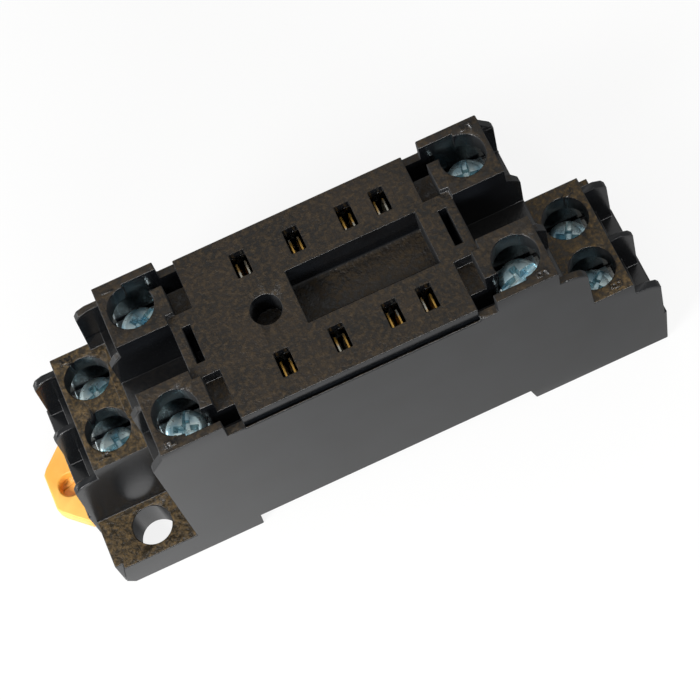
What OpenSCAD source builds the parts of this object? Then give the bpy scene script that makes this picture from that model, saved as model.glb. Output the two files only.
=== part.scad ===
// Relay socket for a 35 mm rail: one moulded housing with eight screw terminals,
// a base plate, a spring-loaded rail latch and eight sheet-metal contacts.
// Frame: X along the length, Y across, Z up, origin at the middle of the underside.
// The two ends are the same form turned half a turn about Z.

/* [Overall] */
// Width of the moulding over its side faces
body_wid = 21.9; // [21.4:0.1:22.2]
// Half length from the middle to an end wall
end_x = 35.9; // [35.7:0.1:36.2]
// Height of the relay seat above the underside
seat_z = 30; // [29.8:0.1:30.4]

/* [Relay seat] */
// Length of the raised seat
seat_len = 28; // [27.8:0.1:28]
// Width of the raised seat
seat_wid = 20.9; // [20.6:0.1:21]
// Height of the side ledge and of the notch walls
ledge_z = 28; // [27.8:0.1:28.2]
// Height of the shallow notch floor beside the seat
notch_z = 28.3; // [28.2:0.1:28.4]
// Distance of the notch's inner edge from the middle
block_x = 16.1; // [16:0.05:16.2]
// Half width of the tongue that carries the clip slot
tongue_y = 4.15; // [4:0.05:4.2]
// End of the tongue from the middle
tongue_x = 17.1; // [17.1:0.05:17.3]
// Pitch of the two rows of blade slots
slot_row = 13.15; // [13.1:0.05:13.2]
// Blade slot, across its gap
slot_gap = 1.83; // [1.7:0.01:1.9]
// Blade slot, along its length
slot_long = 3.14; // [3:0.01:3.2]

/* [Terminals] */
// Top of the upper terminal blocks
upper_top = 30.8; // [30.6:0.1:31]
// Top of the lower terminal blocks
lower_top = 19.25; // [19:0.05:19.4]
// Upper screw axis, from the middle along X
upper_x = 20.15; // [20.1:0.05:20.2]
// Upper screw axis, from the middle along Y
upper_y = 6.95; // [6.9:0.05:7]
// Lower screw axis, from the middle along X
lower_x = 28.7; // [28.6:0.05:28.8]
// Outer lower screw axis, from the middle along Y
lower_y = 6.9; // [6.9:0.05:6.95]
// Inner lower screw axis, past the middle along Y
lower_mid_y = 0.1; // [0.05:0.05:0.15]
// Thickness of a terminal block's roof
roof_t = 2.7; // [2.5:0.1:2.8]
// Drop from a block's top to its wire floor
floor_drop = 8.5; // [8.4:0.1:8.6]
// Half width of a terminal chamber
chamber_half = 3.15; // [3.1:0.05:3.2]
// Radius of a screwdriver hole
driver_r = 2.65; // [2.55:0.05:2.7]

/* [Fixing] */
// Height of a mounting ear
ear_z = 5.35; // [5:0.05:5.6]
// Ear hole, from the middle along X: the pair stands 59 mm apart
ear_hole_x = 29.5; // [29.4:0.05:29.6]
// Ear hole, from the middle along Y
ear_hole_y = 7.35; // [7.3:0.05:7.4]
// Radius of an ear hole
ear_hole_r = 2.4; // [2.1:0.05:2.5]
// Depth of the rail channel
rail_z = 2.6; // [2.5:0.1:2.7]
// Latch end of the rail channel
rail_x0 = -17.55; // [-17.6:0.05:-17.5]
// Fixed end of the rail channel, at its roof
rail_x1 = 17.9; // [17.85:0.05:17.95]

/* [Hardware] */
// Thread radius of a terminal screw
thread_r = 1.5; // [1.45:0.05:1.5]
// Head radius of a terminal screw
head_r = 2.45; // [2.3:0.05:2.5]
// Head height of a terminal screw
head_h = 2.6; // [2.4:0.1:2.7]
// Length of a terminal screw under its head
screw_len = 6.5; // [6:0.1:6.6]
// Thickness of a terminal plate and of a clamp washer
plate_t = 0.8; // [0.7:0.1:0.8]
// Thickness of a contact leaf
leaf_t = 0.3; // [0.25:0.05:0.35]
// Travel of the rail latch
latch_travel = 3.5; // [3:0.1:3.5]

/* [Hidden] */
$fn = 64;

BLACK = "#2b2622";
ORANGE = "#efa92c";
ZINC = "#cfd8da";
TIN = "#b9a777";

// walls
half_wid = body_wid / 2;
seat_x = seat_len / 2;
seat_y = seat_wid / 2;
wall_t = 0.9;
inner_y = half_wid - wall_t;
over = 1;                   // how far a cut runs past a face
fit = 0.05;                 // side clearance of a piece in its seat
run = 0.06;                 // radial clearance of a thread in its hole

// terminal chambers, measured from the screw axis
upper_floor = upper_top - floor_drop;
lower_floor = lower_top - floor_drop;
chamber_in = 3.05;
roof_out = 3.3;
floor_out = 4.9;
chamber_h = floor_drop - roof_t;
fin_drop = 2.7;             // fin top below the block's top
fin_step = 3.05;            // outer floor below the wire floor
upper_inner_y = upper_y - chamber_half - 0.8;
lower_mid_wall = [lower_y - chamber_half - 0.7, lower_y - chamber_half];
lower_side_wall = [lower_mid_y + chamber_half, lower_mid_y + chamber_half + 0.9];
base_x = upper_x + floor_out;
lower_roof_x = lower_x + roof_out;
lower_floor_x = lower_x + floor_out + 0.05;
outer_floor = lower_floor - fin_step;

// relay seat features
slot_y = slot_row / 2;
SLOT_X = [-7.14, -0.66, 5.68, 9.78];
recess = [-3.08, 12.67, 3.4];
recess_floor = 26.2;
post_hole = [-6.7, 0.15, 1.8];
clip_slot = [15, 15.95, 2.33];
groove = [0.2, 0.6];        // ledge groove, width and depth
channel = [7.85, 9.95];     // strap channel across a block, in Y
channel_floor = 24;
pocket_top = 28.7;

// interior
cover_z = rail_z;
cover_t = 1.5;
cover_top = cover_z + cover_t;
attic_x = 13;
attic_z = 27;
cellar_x = 24;
cellar_z = upper_floor - plate_t - 1.1;
end_cellar_z = lower_floor - plate_t - 1;

// latch
latch_y = 3.2;              // middle of the latch, on the -X end
latch_z = [0.25, 2.5];
latch_flange = 5;
latch_body = 4.2;
latch_lip_z = 1.25;
tab_x = [-39.7, -36];
tab_half = [2.65, 5.7];
latch_hole = [-37.1, 3.1, 1.5];
latch_hole_floor = 0.85;
window = [-31.3, -19.6, 1.35];
post_x = [-31.25, -28.8];
hook_tip = 1.25;
coil_r = 0.85;
wire_r = 0.15;
coil_z = 1.35;
coil_turns = 10;

// contacts: [slot x, slot row sign, terminal end sign, terminal row sign, upper level]
CONTACTS = [
    [SLOT_X[0], 1, -1, 1, true],
    [SLOT_X[0], -1, -1, -1, true],
    [SLOT_X[1], 1, -1, 1, false],
    [SLOT_X[1], -1, -1, 0, false],
    [SLOT_X[3], 1, 1, 1, true],
    [SLOT_X[3], -1, 1, -1, true],
    [SLOT_X[2], 1, 1, 0, false],
    [SLOT_X[2], -1, 1, -1, false]];
strap_half = 1.35;
plate_half = 2.9;
base_half = 1.2;
cross_x = [13.5, 16.2];     // where a lower strap crosses to its row
lug_rise = 4.9;
// turn of each screw's recess about Z
RECESS_TURN = [35, 68, 20, 5, 80, 15, 60, 40];

function terminal_x(c) = c[2] * (c[4] ? upper_x : lower_x);
function terminal_y(c) = c[4] ? c[3] * upper_y : (c[3] == 0 ? c[2] * lower_mid_y : c[3] * lower_y);
function terminal_floor(c) = c[4] ? upper_floor : lower_floor;

// everything stands this far along +X, so that the origin is the middle of the whole part
mid_x = (-tab_x[0] - end_x) / 2;

module placed() {
    translate([mid_x, 0, 0]) children();
}

// box from its low corner to its high corner
module block(low, high) {
    translate(low) cube(high - low);
}

// outline in X and Z, drawn out along Y
module wall_y(points, y0, y1) {
    translate([0, y1, 0]) rotate([90, 0, 0]) linear_extrude(y1 - y0) polygon(points);
}

// outline in Y and Z, drawn out along X
module wall_x(points, x0, x1) {
    translate([x0, 0, 0]) rotate([90, 0, 90]) linear_extrude(x1 - x0) polygon(points);
}

// outer wall beside an upper chamber that has a lower block in front of it
function long_fin(z0) = [[block_x, z0], [block_x, upper_top], [upper_x + roof_out, upper_top],
    [upper_x + roof_out, upper_top - fin_drop], [base_x - 0.05, upper_top - fin_drop],
    [base_x + 1.2, upper_top - fin_drop - 0.5], [base_x + 1.65, upper_top - fin_drop - 1.3],
    [base_x + 2.03, lower_top], [base_x + 2.03, z0]];

// outer wall of an upper chamber above a mounting ear
function ear_fin(z0) = [[block_x, z0], [block_x, upper_top], [upper_x + roof_out, upper_top],
    [upper_x + roof_out + 0.15, upper_top - 1.1], [base_x - 0.2, upper_top - 2.6],
    [base_x + 0.05, upper_top - 3.2], [base_x + 0.05, z0]];

// wall between an upper chamber and the middle gap
function gap_fin(z0) = [[tongue_x, z0], [tongue_x, upper_top], [upper_x + roof_out, upper_top],
    [upper_x + roof_out + 0.05, upper_top - fin_drop + 0.2], [base_x - 0.9, upper_top - fin_drop],
    [base_x, upper_top - fin_drop - 1.4], [base_x, z0]];

// wall beside a lower chamber
function low_fin(z0) = [[base_x - 1, z0], [base_x - 1, lower_top], [lower_roof_x, lower_top],
    [lower_roof_x + 0.1, lower_top - fin_drop + 0.2], [lower_roof_x + 1.7, lower_top - fin_drop + 0.2],
    [end_x - 1, lower_top - fin_drop - 0.4], [end_x - 0.6, lower_top - fin_drop - 1.2],
    [end_x, z0]];

// chamber, screwdriver hole, plate seat and thread clearance round one screw axis
module terminal_cut(x, y, top, reach) {
    floor_z = top - floor_drop;
    block([x - chamber_in, y - chamber_half, floor_z], [x + reach, y + chamber_half, floor_z + chamber_h]);
    translate([x, y, floor_z]) cylinder(h = floor_drop + over, r = driver_r);
    block([x - chamber_in, y - plate_half - fit, floor_z - plate_t - fit],
        [x + roof_out + fit, y + plate_half + fit, floor_z + fit]);
    translate([x, y, floor_z - screw_len - over]) cylinder(h = screw_len + over, r = thread_r + 0.4);
}

// everything that stands at the +X end
module end_block() {
    block([seat_x - 1, -half_wid, 0], [base_x, half_wid, upper_floor]);
    for (side = [-1, 1]) {
        low_y = side > 0 ? tongue_y : -inner_y;
        high_y = side > 0 ? inner_y : -tongue_y;
        block([block_x, low_y, upper_floor - 1], [upper_x + roof_out, high_y, upper_top]);
        wall_y(gap_fin(upper_floor - 1), side > 0 ? upper_inner_y : -upper_inner_y - 0.8,
            side > 0 ? upper_inner_y + 0.8 : -upper_inner_y);
    }
    block([tongue_x, upper_inner_y, upper_floor - 1], [upper_x + roof_out, tongue_y + 1, upper_top]);
    block([tongue_x, -tongue_y - 1, upper_floor - 1], [upper_x + roof_out, -upper_inner_y, upper_top]);
    wall_y(long_fin(0), -half_wid, -inner_y);
    wall_y(ear_fin(0), inner_y, half_wid);
    // lower terminals
    block([base_x - 1, -half_wid, 0], [lower_roof_x, lower_side_wall[1], lower_top]);
    block([base_x - 1, -half_wid, 0], [lower_floor_x, lower_side_wall[1], lower_floor]);
    block([base_x - 1, -half_wid, 0], [end_x, lower_side_wall[1], outer_floor]);
    wall_y(low_fin(0), -half_wid, -inner_y);
    wall_y(low_fin(0), -lower_mid_wall[1], -lower_mid_wall[0]);
    wall_y(low_fin(0), lower_side_wall[0], lower_side_wall[1]);
    // mounting ear, with its edge strip set back from the corner
    block([base_x - 1, lower_side_wall[0], 0], [end_x - 0.45, half_wid - 0.65, ear_z]);
    wall_y([[base_x - 1, 0], [base_x - 1, ear_z], [end_x - 1.45, ear_z], [end_x - 0.7, 1.2],
        [end_x - 1.5, 0]], half_wid - wall_t, half_wid);
}

// everything that is cut away at the +X end
module end_cut() {
    for (side = [-1, 1])
        terminal_cut(upper_x, side * upper_y, upper_top, floor_out + 3);
    terminal_cut(lower_x, -lower_y, lower_top, floor_out + 4);
    terminal_cut(lower_x, lower_mid_y, lower_top, floor_out + 4);
    // middle gap between the upper blocks
    block([tongue_x, -upper_inner_y, upper_floor], [base_x + over, upper_inner_y, upper_top + over]);
    // strap channels and the deep end of each notch
    for (side = [-1, 1]) {
        low_y = side > 0 ? channel[0] : -channel[1];
        block([seat_x, low_y, channel_floor], [upper_x, low_y + channel[1] - channel[0],
            upper_top + over]);
    }
    // clip slot
    block([clip_slot[0], -clip_slot[2], channel_floor - 1], [clip_slot[1], clip_slot[2], seat_z + over]);
    translate([ear_hole_x, ear_hole_y, -over]) cylinder(h = ear_z + 2 * over, r = ear_hole_r);
    // interior of the lower terminals, open below
    block([cellar_x - over, -inner_y, -over], [lower_x + 4.3, lower_side_wall[0] - fit, end_cellar_z]);
    block([cellar_x - over, -inner_y, -over], [end_x - 1, lower_side_wall[0] - fit, outer_floor - 1]);
}

// strokes of the raised numbers, on a grid one wide and two high: [x0, y0, x1, y1]
STROKES = [[0, 2, 1, 2], [1, 1, 1, 2], [1, 0, 1, 1], [0, 0, 1, 0], [0, 0, 0, 1], [0, 1, 0, 2], [0, 1, 1, 1]];
NUMBER_STROKES = [[1, 2], [0, 1, 6, 4, 3], [0, 1, 6, 2, 3], [5, 6, 1, 2],
    [0, 5, 6, 2, 3], [0, 5, 4, 3, 2, 6], [0, 1, 2], [0, 1, 2, 3, 4, 5, 6]];
number_step = 0.58;
number_line = 0.22;
number_h = 0.12;

// raised number beside its terminal, read from the -X end
module number_mark(n) {
    c = CONTACTS[n - 1];
    top = c[4] ? upper_top : lower_top;
    out = c[4] ? 1.75 : 1.55;
    side = c[3] == 0 ? -c[2] : sign(c[3]);
    x = terminal_x(c) + c[2] * out;
    y = terminal_y(c) + side * (c[4] ? 3.1 : (c[3] == 0 ? -2.9 : 3.1));
    translate([x - number_step, y + number_step / 2, top - fit]) rotate([0, 0, -90])
        for (k = NUMBER_STROKES[n - 1]) {
            s = STROKES[k] * number_step;
            block([s[0] - number_line / 2, s[1] - number_line / 2, 0],
                [s[2] + number_line / 2, s[3] + number_line / 2, number_h + fit]);
        }
}

// raised seat for the relay with its two tongues
module seat_block() {
    block([-seat_x, -seat_y, 0], [seat_x, seat_y, seat_z]);
    block([-tongue_x, -tongue_y, 0], [tongue_x, tongue_y, seat_z]);
    block([-block_x, -half_wid, 0], [block_x, half_wid, ledge_z]);
    block([-block_x, -seat_y, 0], [block_x, seat_y, notch_z]);
    for (side = [-1, 1])
        block([side > 0 ? seat_x : -block_x, -half_wid, 0],
            [side > 0 ? block_x : -seat_x, half_wid, notch_z]);
}

// slots, recess and hole in the seat, with the hollow below
module seat_cut() {
    for (x = SLOT_X, row = [-1, 1]) {
        block([x - slot_gap / 2, row * slot_y - slot_long / 2, attic_z - over],
            [x + slot_gap / 2, row * slot_y + slot_long / 2, seat_z + over]);
        block([x - base_half - 0.15, row * slot_y - strap_half - 0.25, attic_z - over],
            [x + base_half + 0.15, row * slot_y + strap_half + 0.25, pocket_top]);
    }
    // recess with a rounded foot along both long walls
    wall_x([[-recess[2], seat_z + over], [-recess[2], recess_floor + 0.9], [-recess[2] + 0.12, recess_floor + 0.45],
        [-recess[2] + 0.4, recess_floor + 0.13], [-recess[2] + 0.9, recess_floor], [recess[2] - 0.9, recess_floor],
        [recess[2] - 0.4, recess_floor + 0.13], [recess[2] - 0.12, recess_floor + 0.45],
        [recess[2], recess_floor + 0.9], [recess[2], seat_z + over]], recess[0], recess[1]);
    translate([post_hole[0], post_hole[1], recess_floor]) cylinder(h = seat_z, r = post_hole[2]);
    for (side = [-1, 1])
        block([-seat_x, side > 0 ? seat_y : -seat_y - groove[0], ledge_z - groove[1]],
            [seat_x, side > 0 ? seat_y + groove[0] : -seat_y, seat_z + over]);
    difference() {
        block([-attic_x, -inner_y, cellar_z - over], [attic_x, inner_y, attic_z]);
        block([recess[0] - 1, -recess[2] - 1, recess_floor - 1], [recess[1] + 1, recess[2] + 1, attic_z + over]);
        translate([post_hole[0], post_hole[1], recess_floor - 1]) cylinder(h = 2, r = post_hole[2] + 1);
    }
    block([-cellar_x, -inner_y, -over], [cellar_x, inner_y, cellar_z]);
}

// tunnels that the contact straps pass through
module strap_cut() {
    for (c = CONTACTS) {
        z = terminal_floor(c) - plate_t;
        y = c[4] ? c[1] * slot_y : (c[3] == 0 ? terminal_y(c) : c[1] * slot_y);
        far_x = c[4] ? upper_x - chamber_in + 0.5 : lower_x - chamber_in + 0.5;
        near_x = c[4] ? attic_x - over : cellar_x - over;
        block([c[2] > 0 ? near_x : -far_x, y - strap_half - fit, z - fit],
            [c[2] > 0 ? far_x : -near_x, y + strap_half + fit, z + plate_t + fit]);
    }
}

module housing() {
    color(BLACK) difference() {
        union() {
            seat_block();
            end_block();
            rotate([0, 0, 180]) end_block();
            for (n = [1 : 8])
                number_mark(n);
        }
        seat_cut();
        end_cut();
        rotate([0, 0, 180]) end_cut();
        strap_cut();
        // rail channel, square at the latch end and sloped at the fixed end
        wall_y([[rail_x0, -over], [rail_x0, rail_z], [rail_x1, rail_z],
            [rail_x1 + 0.6 + 0.25 * over, -over]], -half_wid - over, half_wid + over);
        // way out for the latch
        block([-end_x - over, latch_y - latch_flange - 0.15, -over],
            [-end_x + 2, latch_y + latch_flange + 0.15, rail_z]);
    }
}

// flat plan of the base plate: the middle and one arm per end
module cover_plan() {
    square([2 * (cellar_x - fit), 2 * (inner_y - fit)], center = true);
    for (turn = [0, 180])
        rotate(turn) translate([cellar_x - 2, -inner_y + fit])
            square([end_x - 1 - fit - cellar_x + 2, lower_side_wall[0] - 2 * fit + inner_y - fit]);
}

module base_plate() {
    foot_x = rail_x1 + 0.95;
    foot_end = end_x - 1 - fit;
    foot_low = -inner_y + fit;
    foot_high = lower_side_wall[0] - 2 * fit;
    guide_x = [-foot_end, rail_x0 - 0.4];
    color(BLACK) difference() {
        union() {
            translate([0, 0, cover_z]) linear_extrude(cover_t) cover_plan();
            // ribbed foot and fixed rail hook at the +X end
            difference() {
                block([foot_x, foot_low, 0], [foot_end, foot_high, cover_z]);
                for (k = [0 : 2])
                    block([foot_x + 1 + k * 5.2, foot_low + 1, -over],
                        [foot_x + 1 + k * 5.2 + 4.2, foot_high - 1, cover_z - 0.2]);
            }
            wall_y([[rail_x1 - 1.1, 0.5], [rail_x1 - 0.7, 0.2], [foot_x + 0.5, 0.2], [foot_x + 0.5, cover_z],
                [foot_x - 0.3, cover_z], [foot_x - 0.3, 1.35], [rail_x1 - 1.1, 1.35]], -7, 2);
            // guides on both sides of the latch, each with a lip under its flange
            block([guide_x[0], latch_y - latch_flange - 1.3, 0], [guide_x[1], latch_y - latch_flange - 0.1, cover_z]);
            block([guide_x[0], latch_y - latch_flange - 1.3, 0], [guide_x[1], latch_y - latch_body - 0.1,
                latch_lip_z - 0.1]);
            block([guide_x[0], latch_y + latch_flange + 0.1, 0], [guide_x[1], inner_y - fit, cover_z]);
            block([guide_x[0], latch_y + latch_body + 0.1, 0], [guide_x[1], inner_y - fit, latch_lip_z - 0.1]);
            // spring post and guide pin, which also stop the latch
            block([post_x[0], latch_y - window[2] + 0.15, 0.35], [post_x[1], latch_y + window[2] - 0.15,
                cover_z + 0.5]);
            translate([post_x[1] - 0.5, latch_y, coil_z]) rotate([0, 90, 0])
                cylinder(h = window[1] - latch_travel - 0.05 - post_x[1] + 0.5, r = coil_r - wire_r - 0.15);
        }
        // screw tips of the lower terminals
        for (c = CONTACTS)
            if (!c[4])
                translate([terminal_x(c), terminal_y(c), cover_top - 0.5]) cylinder(h = 2, r = thread_r + 0.3);
    }
}

module rail_latch() {
    color(ORANGE) difference() {
        union() {
            // tab outside the housing
            translate([0, latch_y, latch_z[0]]) linear_extrude(latch_z[1] - latch_z[0])
                polygon([[tab_x[1] + 0.5, -latch_body], [tab_x[1], -latch_body], [tab_x[1], -tab_half[1]],
                    [tab_x[1] - 0.5, -tab_half[1]],
                    [tab_x[0] + 0.5, -tab_half[0] - 0.5], [tab_x[0], -tab_half[0] + 0.2],
                    [tab_x[0], tab_half[0] - 0.2], [tab_x[0] + 0.5, tab_half[0] + 0.5],
                    [tab_x[1] - 0.5, tab_half[1]], [tab_x[1], tab_half[1]], [tab_x[1], latch_body],
                    [tab_x[1] + 0.5, latch_body]]);
            // slide: a wide flange on a narrower body
            block([tab_x[1], latch_y - latch_flange, latch_lip_z],
                [rail_x0 - 0.6, latch_y + latch_flange, latch_z[1]]);
            block([tab_x[1], latch_y - latch_body, latch_z[0]],
                [rail_x0 - 0.6, latch_y + latch_body, latch_z[1]]);
            // hook with a sloped nose
            wall_y([[rail_x0 - 1, latch_z[0]], [rail_x0 + hook_tip - 0.6, latch_z[0]],
                [rail_x0 + hook_tip, latch_z[0] + 0.6], [rail_x0 + hook_tip, 1.3], [rail_x0 - 0.1, 1.3],
                [rail_x0 - 0.4, latch_z[1] - 0.2], [rail_x0 - 1, latch_z[1]]], latch_y - latch_body, latch_y + latch_body);
        }
        translate([latch_hole[0], latch_hole[1], latch_hole_floor]) cylinder(h = 5, r = latch_hole[2]);
        block([window[0], latch_y - window[2], -over], [window[1], latch_y + window[2], latch_z[1] + over]);
    }
}

// compression spring round the guide pin, closed at both ends
module latch_spring() {
    x0 = post_x[1] + wire_r + 0.02;
    x1 = window[1] - wire_r - 0.02;
    sides = 8;
    per_turn = 16;
    rings = coil_turns * per_turn;
    lead = function (t) t < 0.1 ? 0.03 * t / 0.1 : (t > 0.9 ? 0.97 + 0.03 * (t - 0.9) / 0.1
        : 0.03 + 0.94 * (t - 0.1) / 0.8);
    ring_point = function (i, j)
        let (t = i / rings, turn = 360 * i / per_turn, around = 360 * j / sides,
            r = coil_r + wire_r * cos(around))
        [x0 + (x1 - x0) * lead(t) + wire_r * sin(around), latch_y + r * cos(turn), coil_z + r * sin(turn)];
    points = [for (i = [0 : rings], j = [0 : sides - 1]) ring_point(i, j)];
    skin = [for (i = [0 : rings - 1], j = [0 : sides - 1])
        let (k = (j + 1) % sides)
        [i * sides + j, i * sides + k, (i + 1) * sides + k, (i + 1) * sides + j]];
    caps = [[for (j = [sides - 1 : -1 : 0]) j], [for (j = [0 : sides - 1]) rings * sides + j]];
    color(ZINC) polyhedron(points, concat(skin, caps));
}

// two leaves that pinch a relay blade, outline in X and Z
module leaf(side) {
    z0 = upper_floor - 0.1;
    z1 = pocket_top - 1.1;
    wide = base_half - leaf_t;
    pinch = 0.12;
    mouth = 0.42;
    outline = [[side * wide, z0], [side * (wide + leaf_t), z0], [side * (wide + leaf_t), z0 + 1.2],
        [side * (pinch + leaf_t), z1 - 2.2], [side * (mouth + leaf_t), z1 - 0.3], [side * (mouth + leaf_t - 0.1), z1],
        [side * mouth, z1], [side * pinch, z1 - 2.2], [side * wide, z0 + 1.1]];
    wall_y(outline, -strap_half, strap_half);
}

// one sheet-metal contact: terminal plate, strap and receptacle in one piece
module contact(n) {
    c = CONTACTS[n - 1];
    floor_z = terminal_floor(c);
    z0 = floor_z - plate_t;
    x = terminal_x(c);
    y = terminal_y(c);
    row_y = c[1] * slot_y;
    inner_x = abs(x) - chamber_in + 0.02;
    outer_x = abs(x) + roof_out;
    low_x = c[2] > 0 ? inner_x : -outer_x;
    crossing = c[3] == 0;
    cross_low = c[2] > 0 ? cross_x[0] : -cross_x[1];
    strap_end = crossing ? cross_x[1] : inner_x + 0.5;
    color(TIN) difference() {
        union() {
            block([low_x, y - plate_half, z0], [low_x + outer_x - inner_x, y + plate_half, floor_z]);
            // strap along the slot's row, up to the slot
            block([min(c[0], c[2] * strap_end) - (c[2] > 0 ? base_half : 0), row_y - strap_half, z0],
                [max(c[0], c[2] * strap_end) + (c[2] > 0 ? 0 : base_half), row_y + strap_half, floor_z]);
            if (crossing) {
                block([min(c[2] * cross_x[0], c[2] * (inner_x + 0.5)), y - strap_half, z0],
                    [max(c[2] * cross_x[0], c[2] * (inner_x + 0.5)), y + strap_half, floor_z]);
                block([cross_low, min(y, row_y) - strap_half, z0],
                    [cross_low + cross_x[1] - cross_x[0], max(y, row_y) + strap_half, floor_z]);
            }
            if (!c[4])
                block([c[0] - plate_t / 2, row_y - strap_half, z0],
                    [c[0] + plate_t / 2, row_y + strap_half, upper_floor]);
            block([c[0] - base_half, row_y - strap_half, upper_floor - plate_t],
                [c[0] + base_half, row_y + strap_half, upper_floor]);
            translate([c[0], row_y, 0]) {
                leaf(-1);
                leaf(1);
            }
        }
        translate([x, y, z0 - over]) cylinder(h = plate_t + 2 * over, r = thread_r + run);
    }
}

// square washer under a screw head; an upper one has a lug turned up in the strap channel
module clamp_washer(n) {
    c = CONTACTS[n - 1];
    z0 = terminal_floor(c);
    x = terminal_x(c);
    y = terminal_y(c);
    in_reach = 2.92;
    out_reach = 2.75;
    half = 2.9;
    lug_t = 0.45;
    low_x = x - (c[2] > 0 ? in_reach : out_reach);
    lug_x = c[2] > 0 ? low_x : low_x + in_reach + out_reach - lug_t;
    lug_y = c[3] > 0 ? channel[0] + 0.15 : -channel[1] + 0.15;
    color(ZINC) difference() {
        union() {
            block([low_x, y - half, z0 + 0.02], [low_x + in_reach + out_reach, y + half, z0 + plate_t]);
            if (c[4])
                block([lug_x, lug_y, z0 + 0.02], [lug_x + lug_t, lug_y + 1.8, z0 + lug_rise]);
        }
        translate([x, y, z0 - over]) cylinder(h = plate_t + 2 * over, r = thread_r + run);
    }
}

// pan head with a slot across a cross recess
module terminal_screw(n) {
    c = CONTACTS[n - 1];
    head_z = terminal_floor(c) + plate_t + 0.01;
    edge = 0.55;
    slot_w = 0.8;
    cross_w = 1.1;
    cross_len = 3.3;
    color(ZINC) translate([terminal_x(c), terminal_y(c), head_z]) rotate([0, 0, RECESS_TURN[n - 1]])
        difference() {
            rotate_extrude() polygon([[0, -screw_len], [thread_r - 0.4, -screw_len],
                [thread_r, -screw_len + 0.4], [thread_r, 0], [head_r, 0], [head_r, head_h - edge],
                [head_r - 0.2, head_h - edge / 3], [head_r - edge, head_h], [0, head_h]]);
            block([-head_r - over, -slot_w / 2, head_h - 1], [head_r + over, slot_w / 2, head_h + over]);
            block([-cross_len / 2, -cross_w / 2, head_h - 1.7], [cross_len / 2, cross_w / 2, head_h + over]);
            block([-cross_w / 2, -cross_len / 2, head_h - 1.7], [cross_w / 2, cross_len / 2, head_h + over]);
        }
}

placed() housing();
placed() base_plate();
placed() rail_latch();
placed() latch_spring();
placed() contact(1);  // contact_1
placed() contact(2);  // contact_2
placed() contact(3);  // contact_3
placed() contact(4);  // contact_4
placed() contact(5);  // contact_5
placed() contact(6);  // contact_6
placed() contact(7);  // contact_7
placed() contact(8);  // contact_8
placed() clamp_washer(1);  // clamp_washer_1
placed() clamp_washer(2);  // clamp_washer_2
placed() clamp_washer(3);  // clamp_washer_3
placed() clamp_washer(4);  // clamp_washer_4
placed() clamp_washer(5);  // clamp_washer_5
placed() clamp_washer(6);  // clamp_washer_6
placed() clamp_washer(7);  // clamp_washer_7
placed() clamp_washer(8);  // clamp_washer_8
placed() terminal_screw(1);  // terminal_screw_1
placed() terminal_screw(2);  // terminal_screw_2
placed() terminal_screw(3);  // terminal_screw_3
placed() terminal_screw(4);  // terminal_screw_4
placed() terminal_screw(5);  // terminal_screw_5
placed() terminal_screw(6);  // terminal_screw_6
placed() terminal_screw(7);  // terminal_screw_7
placed() terminal_screw(8);  // terminal_screw_8
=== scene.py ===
from math import cos, pi, radians

import bpy
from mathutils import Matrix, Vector


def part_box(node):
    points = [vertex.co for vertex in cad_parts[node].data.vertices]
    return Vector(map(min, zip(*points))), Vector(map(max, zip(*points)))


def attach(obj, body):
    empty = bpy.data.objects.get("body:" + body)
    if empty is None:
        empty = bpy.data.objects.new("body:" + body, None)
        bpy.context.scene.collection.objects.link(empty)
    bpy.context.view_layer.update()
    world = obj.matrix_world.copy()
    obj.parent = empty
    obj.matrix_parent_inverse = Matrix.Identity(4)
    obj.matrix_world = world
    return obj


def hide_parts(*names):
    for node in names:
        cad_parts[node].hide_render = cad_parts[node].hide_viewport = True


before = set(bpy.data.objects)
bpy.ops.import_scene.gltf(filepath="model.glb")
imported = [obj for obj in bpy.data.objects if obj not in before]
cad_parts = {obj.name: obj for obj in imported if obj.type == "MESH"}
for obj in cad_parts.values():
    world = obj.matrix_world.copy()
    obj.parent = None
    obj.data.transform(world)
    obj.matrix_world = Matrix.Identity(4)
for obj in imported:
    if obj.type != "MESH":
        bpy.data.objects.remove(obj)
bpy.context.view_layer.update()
MM = 0.001
MID_X = 1.9                       # the housing's middle stands this far along +X, mm


# ---------------------------------------------------------------- small tools
def let_go():
    """Nothing selected, no edit mode."""
    if bpy.context.object and bpy.context.object.mode != "OBJECT":
        bpy.ops.object.mode_set(mode="OBJECT")
    bpy.ops.object.select_all(action="DESELECT")


def take(piece):
    """Only this piece selected and active."""
    let_go()
    piece.select_set(True)
    bpy.context.view_layer.objects.active = piece
    return piece


def named(name):
    """The primitive that was just added, under its own name."""
    piece = bpy.context.object
    piece.name = name
    piece.data.name = name
    return piece


def settle(piece):
    """Place, turn and scale go into the mesh, and the object stays at the origin."""
    take(piece)
    bpy.ops.object.transform_apply(location=True, rotation=True, scale=True)
    return piece


def pick_faces(piece, wanted):
    """Edit mode with only the faces that pass the test selected."""
    take(piece)
    for part in (piece.data.vertices, piece.data.edges, piece.data.polygons):
        for one in part:
            one.select = False
    for face in piece.data.polygons:
        face.select = bool(wanted(face))
    bpy.ops.object.mode_set(mode="EDIT")
    bpy.ops.mesh.select_mode(type="FACE")


def modify(piece, kind, **settings):
    """A modifier that is applied at once."""
    take(piece)
    bpy.ops.object.modifier_add(type=kind)
    made = piece.modifiers[-1]
    for key, value in settings.items():
        setattr(made, key, value)
    bpy.ops.object.modifier_apply(modifier=made.name)
    return piece


def smooth(piece, angle=40):
    """Soft shading over rounded edges, flat faces kept flat."""
    take(piece)
    bpy.ops.object.shade_smooth_by_angle(angle=radians(angle))
    return modify(piece, "WEIGHTED_NORMAL", keep_sharp=True)


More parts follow.
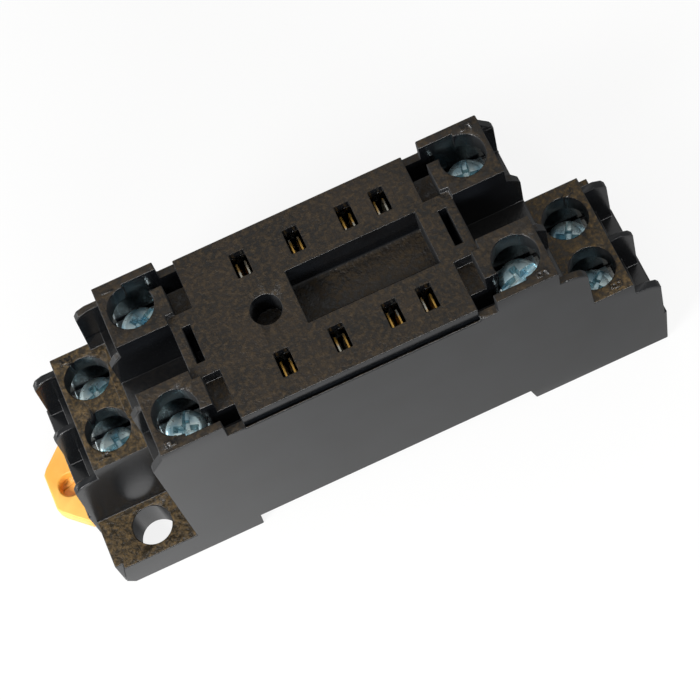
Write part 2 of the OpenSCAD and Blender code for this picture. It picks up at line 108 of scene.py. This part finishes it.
def outward(piece):
    """Doubles merged and every face turned outwards."""
    take(piece)
    bpy.ops.object.mode_set(mode="EDIT")
    bpy.ops.mesh.select_all(action="SELECT")
    bpy.ops.mesh.remove_doubles(threshold=1e-7)
    bpy.ops.mesh.normals_make_consistent(inside=False)
    bpy.ops.object.mode_set(mode="OBJECT")
    return piece


def cut(piece, *tools):
    """The tools are taken out of the piece and thrown away."""
    for tool in tools:
        modify(piece, "BOOLEAN", operation="DIFFERENCE", object=tool, solver="EXACT")
        let_go()
        bpy.data.objects.remove(tool)
    return piece


def copy_of(piece, name):
    """A copy with a mesh of its own."""
    take(piece)
    bpy.ops.object.duplicate(linked=False)
    return named(name)


def eased(node, name, width, rounds=1, spared=()):
    """The moulded or stamped solid with its edges eased by width mm, apart from those in the spared boxes."""
    piece = copy_of(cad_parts[node], name)
    bpy.ops.object.mode_set(mode="EDIT")
    bpy.ops.mesh.select_all(action="SELECT")
    bpy.ops.mesh.remove_doubles(threshold=1e-7)
    bpy.ops.object.mode_set(mode="OBJECT")
    mesh = piece.data
    sides = {}
    for face in mesh.polygons:
        for key in face.edge_keys:
            sides.setdefault(key, []).append(face.normal.copy())
    weight = mesh.attributes.new("bevel_weight_edge", "FLOAT", "EDGE")
    for edge in mesh.edges:
        met = sides.get(tuple(sorted(edge.vertices)), [])
        middle = (mesh.vertices[edge.vertices[0]].co + mesh.vertices[edge.vertices[1]].co) / 2
        bare = any(all(low[k] <= middle[k] <= high[k] for k in range(3)) for low, high in spared)
        sharp = len(met) == 2 and met[0].dot(met[1]) < cos(radians(28))
        weight.data[edge.index].value = 1.0 if sharp and not bare else 0.0
    modify(piece, "BEVEL", limit_method="WEIGHT", width=width * MM, segments=rounds, use_clamp_overlap=False)
    return smooth(piece)


# ---------------------------------------------------------------- colour and finish
def hex_colour(code):
    """An sRGB hex value as linear red, green, blue and alpha."""
    parts = [int(code[k:k + 2], 16) / 255 for k in (1, 3, 5)]
    return [p / 12.92 if p <= 0.04045 else ((p + 0.055) / 1.055) ** 2.4 for p in parts] + [1.0]


def add(finish, kind, inputs=None, stops=None, **settings):
    """One node in a finish, with its settings, its colour stops and what comes into it."""
    made = finish.node_tree.nodes.new(kind)
    for key, value in settings.items():
        setattr(made, key, value)
    for key, value in (inputs or {}).items():
        if isinstance(value, bpy.types.NodeSocket):
            finish.node_tree.links.new(value, made.inputs[key])
        else:
            made.inputs[key].default_value = value
    if stops:
        ramp = made.color_ramp.elements
        while len(ramp) < len(stops):
            ramp.new(1.0)
        for one, (place, colour) in zip(ramp, stops):
            one.position = place
            one.color = colour if isinstance(colour, list) else [colour] * 3 + [1.0]
    return made


def new_finish(name, colour, roughness, metallic=0.0, ior=1.5):
    """A surface with its plain values set on the shader; returns it and the shader."""
    finish = bpy.data.materials.new(name)
    finish.use_nodes = True
    shader = finish.node_tree.nodes["Principled BSDF"]
    shader.inputs["Base Color"].default_value = hex_colour(colour)
    shader.inputs["Roughness"].default_value = roughness
    shader.inputs["Metallic"].default_value = metallic
    if not metallic:
        shader.inputs["IOR"].default_value = ior
    finish.diffuse_color = hex_colour(colour)
    return finish, shader


def join(finish, out, into):
    finish.node_tree.links.new(out, into)


def grain(finish, place, size, detail=2.0, rough=0.5, distortion=0.0):
    """Noise whose patches are about size mm across."""
    return add(finish, "ShaderNodeTexNoise", {"Vector": place, "Scale": 1000.0 / size, "Detail": detail,
                                              "Roughness": rough, "Distortion": distortion})


def moulded_black(name, sparkle):
    """Black moulded thermoset. The tops came off the textured half of the mould: flecked, with a grain that
    sparkles, and painted a lighter brown-black where light falls on them.
    The drawn walls and the deep floors are smooth and reflect what is near; their near-black colour is painted
    shade."""
    finish, shader = new_finish(name, "#1c1711", 0.4, ior=1.52)
    place = add(finish, "ShaderNodeTexCoord").outputs["Object"]
    flow = grain(finish, place, 5.0, 3.0, 0.55)           # slow tint of the resin, 5 mm
    fleck = grain(finish, place, 0.6, 4.0, 0.7, 0.25)     # flecks of filler, about half a millimetre
    pit = grain(finish, place, 0.42, 3.0, 0.65)           # mould grain, drawn at 0.42 mm so that it shows
    tint = add(finish, "ShaderNodeValToRGB", {"Fac": flow.outputs["Fac"]},
               stops=[(0.36, hex_colour("#0d0b08")), (0.64, hex_colour("#1e1811"))])
    spots = add(finish, "ShaderNodeValToRGB", {"Fac": fleck.outputs["Fac"]},
                stops=[(0.44, 0.0), (0.72, 1.0)])
    # painted light: the tops' brown-black is lighter than the walls' because light falls on them; the flecks are
    # the resin's own
    plain_top = add(finish, "ShaderNodeMix", {"Factor": spots.outputs["Color"], 6: tint.outputs["Color"],
                                              7: hex_colour("#41372a")}, data_type="RGBA")
    low_top = add(finish, "ShaderNodeMix", {"Factor": spots.outputs["Color"], 6: hex_colour("#231c10"),
                                            7: hex_colour("#665439")}, data_type="RGBA")
    # faces that look up, at the levels of the tops and not of the floors behind them, get the grain and a
    # lighter brown that is painted light; the floors behind them keep the near-black painted shade
    facing = add(finish, "ShaderNodeSeparateXYZ",
                 {"Vector": add(finish, "ShaderNodeNewGeometry").outputs["Normal"]})
    up = add(finish, "ShaderNodeMapRange", {"Value": facing.outputs["Z"], "From Min": 0.75, "From Max": 0.96})
    level = add(finish, "ShaderNodeMapRange",
                {"Value": add(finish, "ShaderNodeSeparateXYZ", {"Vector": place}).outputs["Z"],
                 "From Min": 0.0, "From Max": 0.031})
    grain_and_floor_shade = add(finish, "ShaderNodeValToRGB", {"Fac": level.outputs["Result"]},
                  stops=[(0.0, 1.0), (0.19, 0.0), (0.58, 1.0), (0.68, 0.12), (0.84, 1.0)])
    grain_and_floor_shade.color_ramp.interpolation = "CONSTANT"
    lower = add(finish, "ShaderNodeMath", {0: level.outputs["Result"], 1: 0.65}, operation="LESS_THAN")
    lit_top_colour = add(finish, "ShaderNodeMix", {"Factor": lower.outputs[0], 6: plain_top.outputs[2],
                                               7: low_top.outputs[2]}, data_type="RGBA")
    top = add(finish, "ShaderNodeMath", {0: up.outputs["Result"], 1: grain_and_floor_shade.outputs["Color"]},
              operation="MULTIPLY").outputs[0]
    # painted shade: walls and deep floors are near-black, darker than the lit tops
    shaded_side_colour = add(finish, "ShaderNodeValToRGB", {"Fac": flow.outputs["Fac"]},
                      stops=[(0.3, hex_colour("#08090b")), (0.7, hex_colour("#0f1114"))])
    colour = add(finish, "ShaderNodeMix", {"Factor": top, 6: shaded_side_colour.outputs["Color"],
                                           7: lit_top_colour.outputs[2]}, data_type="RGBA")
    join(finish, colour.outputs[2], shader.inputs["Base Color"])
    top_rough = add(finish, "ShaderNodeMapRange", {"Value": fleck.outputs["Fac"], "From Min": 0.35,
                                                   "From Max": 0.65, "To Min": 0.28, "To Max": 0.6})
    # the end walls drag on the mould as they leave it, so they are duller than the long sides
    endwise = add(finish, "ShaderNodeMath", {0: facing.outputs["X"]}, operation="ABSOLUTE")
    drag = add(finish, "ShaderNodeMapRange", {"Value": endwise.outputs[0], "From Min": 0.5, "From Max": 0.8,
                                              "To Min": 0.22, "To Max": 0.7})
    rough = add(finish, "ShaderNodeMix", {"Factor": top, 2: drag.outputs["Result"],
                                          3: top_rough.outputs["Result"]})
    join(finish, rough.outputs[0], shader.inputs["Roughness"])
    # the grain on the tops breaks up most of the mirror-like shine
    shine = add(finish, "ShaderNodeMapRange", {"Value": fleck.outputs["Fac"], "From Min": 0.35, "From Max": 0.65,
                                               "To Min": 0.42, "To Max": 0.12})
    lustre = add(finish, "ShaderNodeMix", {"Factor": top, 2: 0.5, 3: shine.outputs["Result"]})
    join(finish, lustre.outputs[0], shader.inputs["Specular IOR Level"])
    depth = add(finish, "ShaderNodeMapRange", {"Value": top, "To Min": 0.04, "To Max": sparkle})
    height = add(finish, "ShaderNodeMath", {0: pit.outputs["Fac"], 1: fleck.outputs["Fac"]}, operation="ADD")
    bump = add(finish, "ShaderNodeBump", {"Height": height.outputs[0], "Strength": depth.outputs["Result"],
                                          "Distance": 0.00015})
    join(finish, bump.outputs["Normal"], shader.inputs["Normal"])
    return finish


def latch_orange():
    """Orange-yellow moulded nylon: even and satin, a little deeper in the thick places."""
    finish, shader = new_finish("moulded nylon, orange", "#eeb052", 0.4, ior=1.53)
    place = add(finish, "ShaderNodeTexCoord").outputs["Object"]
    cloud = grain(finish, place, 4.0, 3.0)
    colour = add(finish, "ShaderNodeValToRGB", {"Fac": cloud.outputs["Fac"]},
                 stops=[(0.3, hex_colour("#e9a544")), (0.7, hex_colour("#f2b95c"))])
    join(finish, colour.outputs["Color"], shader.inputs["Base Color"])
    fine = grain(finish, place, 0.3, 2.0)
    rough = add(finish, "ShaderNodeMapRange", {"Value": fine.outputs["Fac"], "To Min": 0.34, "To Max": 0.52})
    join(finish, rough.outputs["Result"], shader.inputs["Roughness"])
    bump = add(finish, "ShaderNodeBump", {"Height": fine.outputs["Fac"], "Strength": 0.12, "Distance": 0.00004})
    join(finish, bump.outputs["Normal"], shader.inputs["Normal"])
    return finish


def plated(name, low, high, smoothest, roughest, tooling, metallic=1.0):
    """Rolled or headed steel with a thin plating: bright, bluish, with faint tool marks."""
    finish, shader = new_finish(name, high, smoothest, metallic=metallic)
    place = add(finish, "ShaderNodeTexCoord").outputs["Object"]
    cloud = grain(finish, place, 1.6, 3.0)
    colour = add(finish, "ShaderNodeValToRGB", {"Fac": cloud.outputs["Fac"]},
                 stops=[(0.35, hex_colour(low)), (0.65, hex_colour(high))])
    join(finish, colour.outputs["Color"], shader.inputs["Base Color"])
    marks = grain(finish, place, 0.6, 2.0, 0.5, 0.4)
    rough = add(finish, "ShaderNodeMapRange", {"Value": marks.outputs["Fac"], "From Min": 0.3, "From Max": 0.7,
                                               "To Min": smoothest, "To Max": roughest})
    join(finish, rough.outputs["Result"], shader.inputs["Roughness"])
    bump = add(finish, "ShaderNodeBump", {"Height": marks.outputs["Fac"], "Strength": tooling,
                                          "Distance": 0.00005})
    join(finish, bump.outputs["Normal"], shader.inputs["Normal"])
    return finish


def contact_strip():
    """Brass strip: tinned where the screws clamp on it, dull yellow and grey where the leaves are formed."""
    finish = plated("brass strip, part tinned", "#c6c8c2", "#eceeea", 0.2, 0.36, 0.12)
    tinned = [n for n in finish.node_tree.nodes if n.type == "VALTORGB"][0]
    shader = finish.node_tree.nodes["Principled BSDF"]
    place = add(finish, "ShaderNodeTexCoord").outputs["Object"]
    height = add(finish, "ShaderNodeSeparateXYZ", {"Vector": place}).outputs["Z"]
    bare = add(finish, "ShaderNodeMapRange", {"Value": height, "From Min": 0.0226, "From Max": 0.0232})
    streak = add(finish, "ShaderNodeValToRGB", {"Fac": grain(finish, place, 2.6, 2.0).outputs["Fac"]},
                 stops=[(0.46, hex_colour("#dcab4c")), (0.54, hex_colour("#cdcabb"))])
    colour = add(finish, "ShaderNodeMix", {"Factor": bare.outputs["Result"], 6: tinned.outputs["Color"],
                                           7: streak.outputs["Color"]}, data_type="RGBA")
    join(finish, colour.outputs[2], shader.inputs["Base Color"])
    dull = add(finish, "ShaderNodeMapRange", {"Value": bare.outputs["Result"], "To Min": 1.0, "To Max": 0.45})
    join(finish, dull.outputs["Result"], shader.inputs["Metallic"])
    return finish


HOUSING = moulded_black("moulded thermoset, black", 0.75)
BASE = moulded_black("moulded thermoset, black, underside", 0.25)
ORANGE = latch_orange()
SCREW = plated("zinc-plated steel, blue, screw", "#a4cede", "#e6fafa", 0.24, 0.38, 0.1, 0.72)
WASHER = plated("zinc-plated steel, washer", "#a9bfc6", "#dce8ea", 0.2, 0.34, 0.12)
SPRING = plated("spring steel wire", "#8f9496", "#c4c9ca", 0.22, 0.35, 0.1)
CONTACT = contact_strip()


def finish_with(piece, finish):
    piece.data.materials.clear()
    piece.data.materials.append(finish)
    for face in piece.data.polygons:
        face.material_index = 0
    return piece


# ---------------------------------------------------------------- mouldings
UPPER_TOP, LOWER_TOP = 30.8, 19.25         # tops of the terminal blocks
NUMBER_OUT = {True: 1.75, False: 1.55}     # from the screw to its number along X, upper and lower
NUMBER_ASIDE, NUMBER_ASIDE_MIDDLE = 3.1, 2.9    # the same along Y, for the outer and the middle terminals
NUMBER_ROOM = Vector((1.0, 0.8, 0.2)) * MM      # half of the room that one number takes
MIDDLE_Y, UPPER_FROM = 0.003, 0.012        # metres: middle terminals stand nearer, upper screws higher than this


def number_boxes():
    """Places of the raised numbers, which keep their crisp edges."""
    places = []
    for n in range(1, 9):
        low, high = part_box(f"terminal_screw_{n}")
        x, y = (low[0] + high[0]) / 2, (low[1] + high[1]) / 2
        end = 1 if x > MID_X * MM else -1
        upper = low[2] > UPPER_FROM
        middle = abs(y) < MIDDLE_Y
        side = -end if middle else (1 if y > MIDDLE_Y else -1)
        spot = Vector((x + end * NUMBER_OUT[upper] * MM,
                       y + side * (NUMBER_ASIDE_MIDDLE if middle else NUMBER_ASIDE) * MM,
                       (UPPER_TOP if upper else LOWER_TOP) * MM))
        places.append((spot - NUMBER_ROOM, spot + NUMBER_ROOM))
    return places


HOUSING_EASE, LATCH_EASE, WASHER_EASE = 0.1, 0.22, 0.12    # widths of the eased edges

housing = eased("housing", "housing_moulding", HOUSING_EASE, 1, number_boxes())
finish_with(housing, HOUSING)
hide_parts("housing")
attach(housing, "socket_body")

latch = eased("rail_latch", "latch_moulding", LATCH_EASE, 3)
finish_with(latch, ORANGE)
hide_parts("rail_latch")
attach(latch, "latch")


# ---------------------------------------------------------------- terminal screws and washers
HEAD_R, HEAD_H, THREAD_R, SCREW_LEN = 2.45, 2.6, 1.5, 6.5
HEAD_ROUND = 0.8                   # rounding of the head's rim
SHANK_TOP = 0.05                   # the shank reaches this far into the head
HALF_PITCH, RINGS = 0.25, 25       # from a thread crest to the next root, and how many fit the shank
ROOT_SHARE = 0.86                  # thread root against crest
RECESS_ABOVE = 0.2                 # a punch starts this far above the head


def recess_tool(name, length, width, depth, turn=0.0):
    """A bar that narrows downwards, as the forming punch does."""
    bpy.ops.mesh.primitive_cube_add(size=1, location=(0, 0, (HEAD_H + RECESS_ABOVE - depth / 2) * MM))
    tool = named(name)
    tool.scale = (length * MM, width * MM, (depth + 2 * RECESS_ABOVE) * MM)
    settle(tool)
    pick_faces(tool, lambda face: face.normal.z < -0.9)
    bpy.ops.transform.resize(value=(0.72, 0.62, 1))
    bpy.ops.object.mode_set(mode="OBJECT")
    tool.rotation_euler = (0, 0, turn)
    return settle(tool)


def make_screw():
    """Pan-head machine screw with a slot across a cross recess."""
    let_go()
    bpy.ops.mesh.primitive_cylinder_add(vertices=56, radius=HEAD_R * MM, depth=HEAD_H * MM,
                                        location=(0, 0, HEAD_H / 2 * MM))
    head = settle(named("screw_head"))
    pick_faces(head, lambda face: face.normal.z > 0.9)
    bpy.ops.mesh.bevel(offset=HEAD_ROUND * MM, segments=6, profile=0.5, affect="EDGES")
    bpy.ops.object.mode_set(mode="OBJECT")
    cut(head, recess_tool("slot_tool", 6.2, 0.85, 0.75),
        recess_tool("cross_tool_a", 3.1, 0.95, 1.3), recess_tool("cross_tool_b", 3.1, 0.95, 1.3, pi / 2))
    outward(head)
    modify(head, "BEVEL", limit_method="ANGLE", angle_limit=radians(40), width=0.07 * MM, segments=2,
           use_clamp_overlap=True)
    # shank with its thread drawn as rings one pitch apart
    let_go()
    bpy.ops.mesh.primitive_cylinder_add(vertices=32, radius=THREAD_R * MM, depth=SCREW_LEN * MM,
                                        location=(0, 0, (SHANK_TOP - SCREW_LEN / 2) * MM))
    shank = settle(named("screw_shank"))
    bpy.ops.object.mode_set(mode="EDIT")
    for k in range(1, RINGS + 1):
        bpy.ops.mesh.select_all(action="SELECT")
        bpy.ops.mesh.bisect(plane_co=(0, 0, (SHANK_TOP - k * HALF_PITCH) * MM), plane_no=(0, 0, 1))
    bpy.ops.mesh.select_mode(type="VERT")
    bpy.ops.mesh.select_all(action="DESELECT")
    bpy.ops.object.mode_set(mode="OBJECT")
    roots = [SHANK_TOP - k * HALF_PITCH for k in range(1, RINGS + 1, 2)]
    for vert in shank.data.vertices:
        vert.select = any(abs(vert.co.z / MM - z) < 0.02 for z in roots)
    bpy.ops.object.mode_set(mode="EDIT")
    bpy.ops.transform.resize(value=(ROOT_SHARE, ROOT_SHARE, 1))
    bpy.ops.object.mode_set(mode="OBJECT")
    take(head)
    shank.select_set(True)
    bpy.ops.object.join()
    return smooth(named("screw_model"), 35)


TURNS = [35, 68, 20, 5, 80, 15, 60, 40]    # degrees, as the screws happen to stand
pattern = make_screw()
for n, turn in enumerate(TURNS, 1):
    low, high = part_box(f"terminal_screw_{n}")
    screw = copy_of(pattern, f"screw_{n}")
    screw.rotation_euler = (0, 0, radians(turn))
    screw.location = ((low[0] + high[0]) / 2, (low[1] + high[1]) / 2, high[2] - HEAD_H * MM)
    settle(screw)
    finish_with(screw, SCREW)
    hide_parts(f"terminal_screw_{n}")
    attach(screw, f"screw_{n}")
    washer = eased(f"clamp_washer_{n}", f"washer_{n}", WASHER_EASE, 2)
    finish_with(washer, WASHER)
    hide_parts(f"clamp_washer_{n}")
    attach(washer, f"clamp_{n}")
let_go()
bpy.data.objects.remove(pattern)

# ---------------------------------------------------------------- pieces that keep their solids
for n in range(1, 9):
    finish_with(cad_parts[f"contact_{n}"], CONTACT)
finish_with(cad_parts["latch_spring"], SPRING)
finish_with(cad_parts["base_plate"], BASE)

# ---------------------------------------------------------------- floor, light and camera
let_go()
bpy.ops.mesh.primitive_plane_add(size=3.0, location=(0, 0, -0.0001))
floor = named("floor")
sheet = bpy.data.materials.new("pale paper")
sheet.use_nodes = True
sheet.node_tree.nodes["Principled BSDF"].inputs["Base Color"].default_value = hex_colour("#e6e6e4")
sheet.node_tree.nodes["Principled BSDF"].inputs["Roughness"].default_value = 0.9
seen = add(sheet, "ShaderNodeLightPath")
along = add(sheet, "ShaderNodeSeparateXYZ", {"Vector": add(sheet, "ShaderNodeTexCoord").outputs["Object"]})
# what shines in the object is a sheet whose light falls off to the right
reach = add(sheet, "ShaderNodeMapRange", {"Value": along.outputs["X"], "From Min": -0.04, "From Max": 0.04})
fall = add(sheet, "ShaderNodeValToRGB", {"Fac": reach.outputs["Result"]},
           stops=[(0.1, 1.0), (0.45, 0.62), (0.9, 0.4)])
glow = add(sheet, "ShaderNodeMix", {"Factor": seen.outputs["Is Glossy Ray"], 2: 1.0, 3: fall.outputs["Color"]})
white = add(sheet, "ShaderNodeEmission", {"Color": hex_colour("#ffffff"), "Strength": glow.outputs[0]})
either = add(sheet, "ShaderNodeMath", {0: seen.outputs["Is Camera Ray"], 1: seen.outputs["Is Glossy Ray"]},
             operation="MAXIMUM")
any_of = add(sheet, "ShaderNodeMath", {0: either.outputs[0], 1: seen.outputs["Is Transmission Ray"]},
             operation="MAXIMUM")
share = add(sheet, "ShaderNodeMath", {0: any_of.outputs[0], 1: 0.86}, operation="MULTIPLY")
blend = add(sheet, "ShaderNodeMixShader", {0: share.outputs[0],
                                           1: sheet.node_tree.nodes["Principled BSDF"].outputs[0],
                                           2: white.outputs[0]})
join(sheet, blend.outputs[0], sheet.node_tree.nodes["Material Output"].inputs["Surface"])
floor.data.materials.append(sheet)

room = bpy.data.worlds.new("studio")
bpy.context.scene.world = room
room.use_nodes = True
ways = add(room, "ShaderNodeLightPath")
back = room.node_tree.nodes["Background"]
back.inputs["Color"].default_value = (1, 1, 1, 1)
level = add(room, "ShaderNodeMix", {"Factor": ways.outputs["Is Camera Ray"], 2: 0.4, 3: 1.0})
join(room, level.outputs[0], back.inputs["Strength"])


def softbox(name, place, aim, size, power):
    lamp = bpy.data.lights.new(name, "AREA")
    lamp.shape = "RECTANGLE"
    lamp.size, lamp.size_y = size
    lamp.energy = power
    holder = bpy.data.objects.new(name, lamp)
    bpy.context.scene.collection.objects.link(holder)
    holder.location = place
    holder.rotation_euler = (Vector(aim) - Vector(place)).to_track_quat("-Z", "Y").to_euler()


softbox("overhead", (0.05, 0.26, 0.56), (0, 0, 0.015), (0.60, 0.42), 0.45)
softbox("key", (-0.17, -0.10, 0.19), (-0.015, 0, 0.015), (0.08, 0.08), 0.6)
softbox("front strip", (0.0, -0.60, 0.27), (0, 0, 0.015), (0.70, 0.12), 4.5)
softbox("left strip", (-0.58, 0.22, 0.07), (0, 0, 0.015), (0.40, 0.12), 1.4)

eye = bpy.data.cameras.new("camera")
eye.lens = 111.24
eye.sensor_width = 36.0
eye.clip_start, eye.clip_end = 0.01, 5.0
stand = bpy.data.objects.new("camera", eye)
bpy.context.scene.collection.objects.link(stand)
stand.location = (-0.004352, -0.103757, 0.242749)
stand.rotation_euler = (radians(22.6862), radians(8.5615), radians(-23.1902))
bpy.context.scene.camera = stand
bpy.context.scene.view_settings.view_transform = "Standard"
